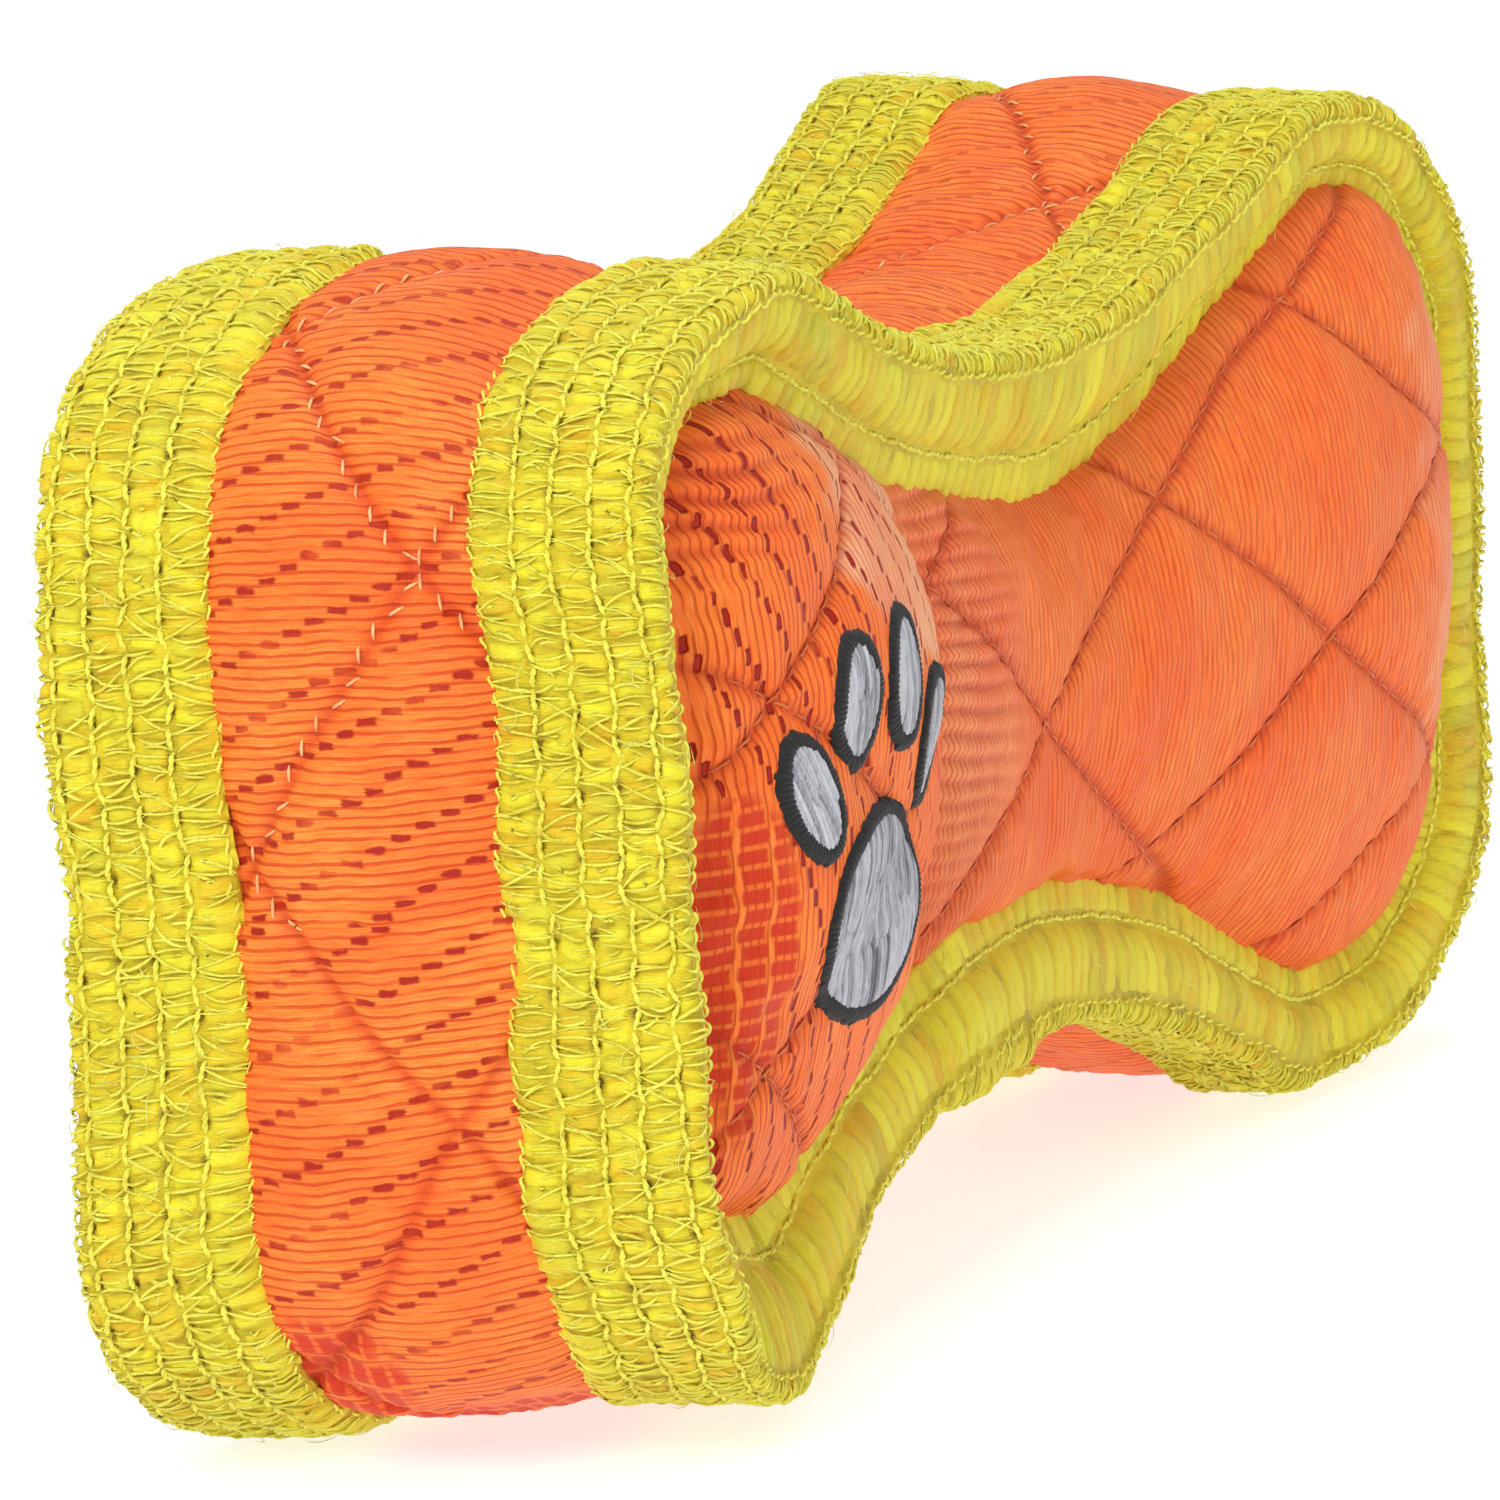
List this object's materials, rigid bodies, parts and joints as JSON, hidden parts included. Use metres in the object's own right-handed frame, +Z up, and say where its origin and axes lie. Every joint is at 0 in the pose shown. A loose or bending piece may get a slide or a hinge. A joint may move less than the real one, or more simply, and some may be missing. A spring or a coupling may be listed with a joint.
{
  "type": "stuffed dog training bumper",
  "caption": "Bone-shaped stuffed fetch and chew toy: quilted woven faces and gusset, folded webbing binding round both face edges, embroidered badge, padding and a squeaker.",
  "frame": {"origin": "middle of the footprint: the bottom centre of the whole object's box, at the height of the surface it stands on", "axes": "+X along the length of the bone; -Y is the front, out of the face with the embroidered badge; +Z up as the toy stands on its two lower lobes"},
  "size_m": [0.216, 0.0776, 0.112],
  "materials": {
    "webbing": "matte",
    "seam_thread": "satin",
    "quilted_canvas": "satin",
    "lining_cloth": "matte",
    "badge_outline": "satin",
    "badge_satin": "satin",
    "stuffing": "matte",
    "pouch_cloth": "matte",
    "squeaker_plastic": "satin",
    "reed_film": "gloss"
  },
  "bodies": {
    "root": {"back_binding": "webbing", "back_face_seam_thread": "seam_thread", "back_panel": "quilted_canvas", "back_panel_lining": "lining_cloth", "back_side_seam_thread_1": "seam_thread", "back_side_seam_thread_2": "seam_thread", "back_side_seam_thread_3": "seam_thread", "back_side_seam_thread_4": "seam_thread", "badge_heel_border": "badge_outline", "badge_heel_fill": "badge_satin", "badge_toe_1_border": "badge_outline", "badge_toe_1_fill": "badge_satin", "badge_toe_2_border": "badge_outline", "badge_toe_2_fill": "badge_satin", "badge_toe_3_border": "badge_outline", "badge_toe_3_fill": "badge_satin", "badge_toe_4_border": "badge_outline", "badge_toe_4_fill": "badge_satin", "filling": "stuffing", "front_binding": "webbing", "front_face_seam_thread": "seam_thread", "front_panel": "quilted_canvas", "front_panel_lining": "lining_cloth", "front_side_seam_thread_1": "seam_thread", "front_side_seam_thread_2": "seam_thread", "front_side_seam_thread_3": "seam_thread", "front_side_seam_thread_4": "seam_thread", "gusset": "quilted_canvas", "gusset_lining": "lining_cloth", "squeaker_bulb": "squeaker_plastic", "squeaker_pouch": "pouch_cloth", "squeaker_reed": "reed_film", "squeaker_reed_holder": "squeaker_plastic"}
  },
  "joints": []
}
